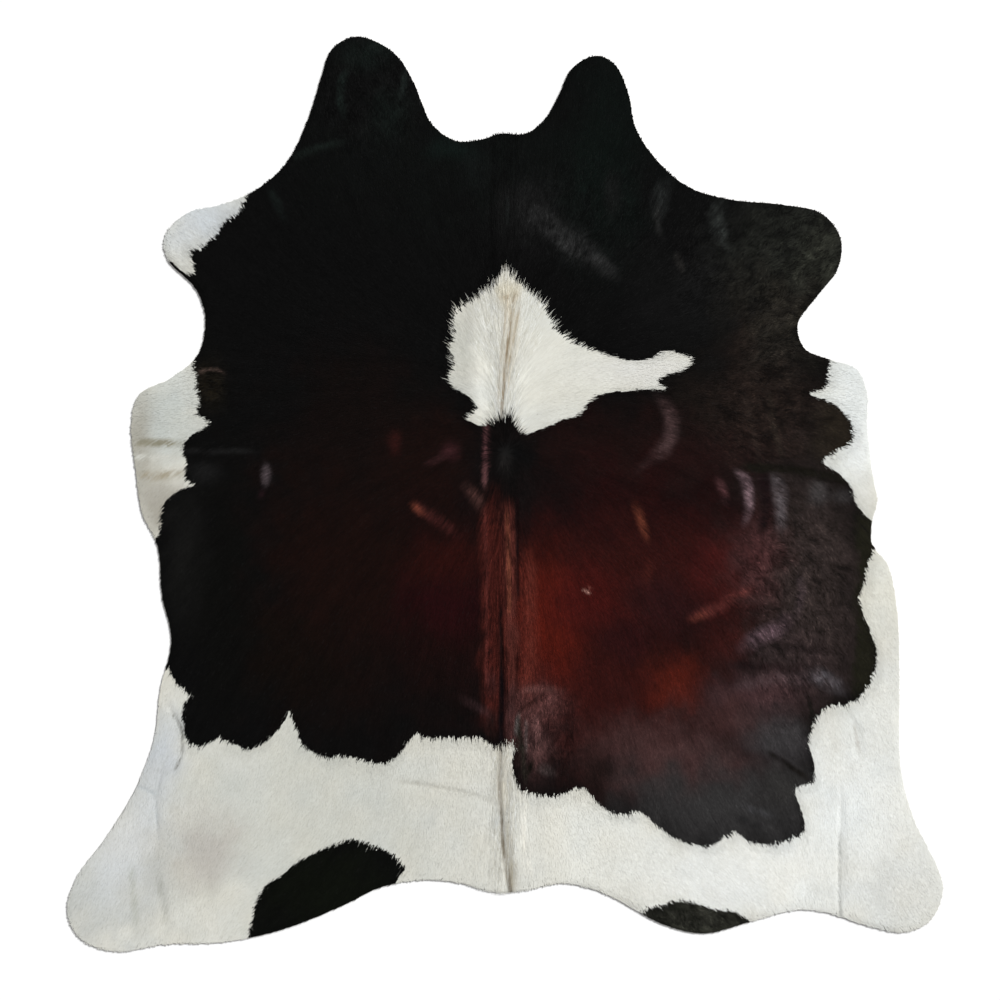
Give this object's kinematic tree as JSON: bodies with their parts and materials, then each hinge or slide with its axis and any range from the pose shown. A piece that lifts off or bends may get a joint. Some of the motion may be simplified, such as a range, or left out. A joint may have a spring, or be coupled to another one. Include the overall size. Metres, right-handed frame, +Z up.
{
  "type": "cowhide rug",
  "caption": "Whole hair-on cowhide laid flat as a rug, black and reddish brown with white patches, cut to its natural outline with neck, leg and rump flaps.",
  "frame": {"origin": "on the floor, under the middle of the hide's bounding box", "axes": "+Y along the spine to the neck, +X to the hide's right foreleg flap, +Z up out of the hair side"},
  "size_m": [2.1, 2.1938, 0.0088],
  "materials": {
    "dark_hair": "short lying hair, black to reddish brown, silky sheen",
    "white_hair": "short lying hair, warm white, silky sheen",
    "suede": "napped flesh side and cut edge of tanned hide, matt"
  },
  "bodies": {
    "root": {"hide": "dark_hair"}
  },
  "joints": []
}
